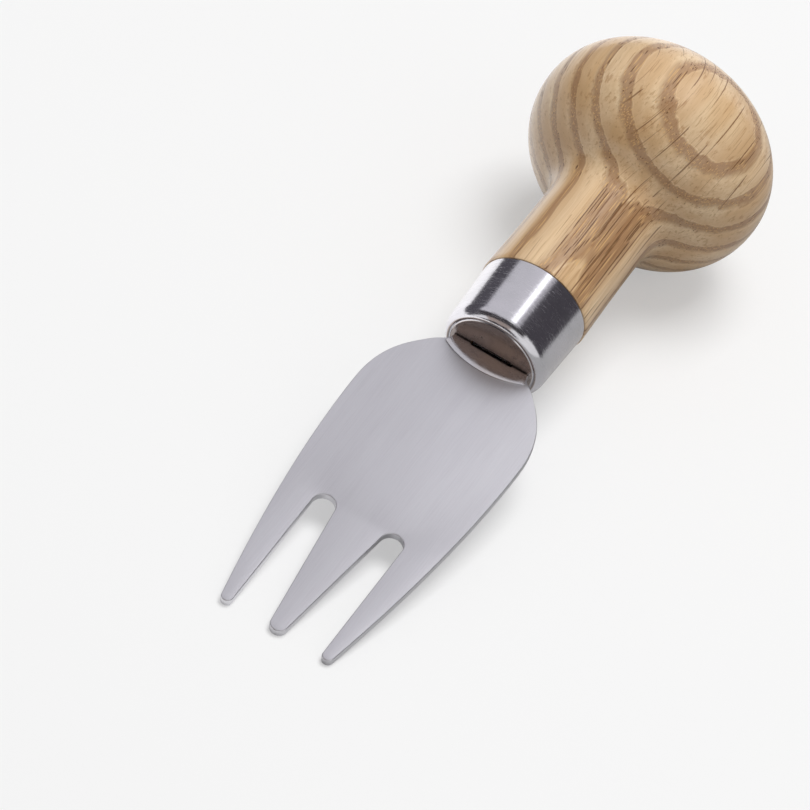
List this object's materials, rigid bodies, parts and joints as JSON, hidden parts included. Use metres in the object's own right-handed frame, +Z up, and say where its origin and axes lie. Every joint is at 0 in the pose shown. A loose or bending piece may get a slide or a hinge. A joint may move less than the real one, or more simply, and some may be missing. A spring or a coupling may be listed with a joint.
{
  "type": "cheese knife",
  "caption": "Short cheese knife with a fork-tipped flat steel blade, a drawn steel ferrule and a waisted, round-knobbed oak handle, laid at rest.",
  "frame": {"origin": "centre of the footprint's box on the surface that the knife lies on, under the middle of its length", "axes": "+X from the knob towards the tines, along the surface; +Z up; the blade's width runs along Y. The knife's own axis dips by about 10 degrees towards the tines, because it rests on the knob and the tine tips."},
  "size_m": [0.1234, 0.04, 0.0398],
  "materials": {
    "blade": "satin, brushed along the blade, with a polished root pad",
    "ferrule": "polished",
    "handle": "oiled, satin",
    "tang_adhesive": "matte"
  },
  "bodies": {
    "root": {"blade": "blade", "ferrule": "ferrule", "handle": "handle", "tang_adhesive": "tang_adhesive"}
  },
  "joints": []
}
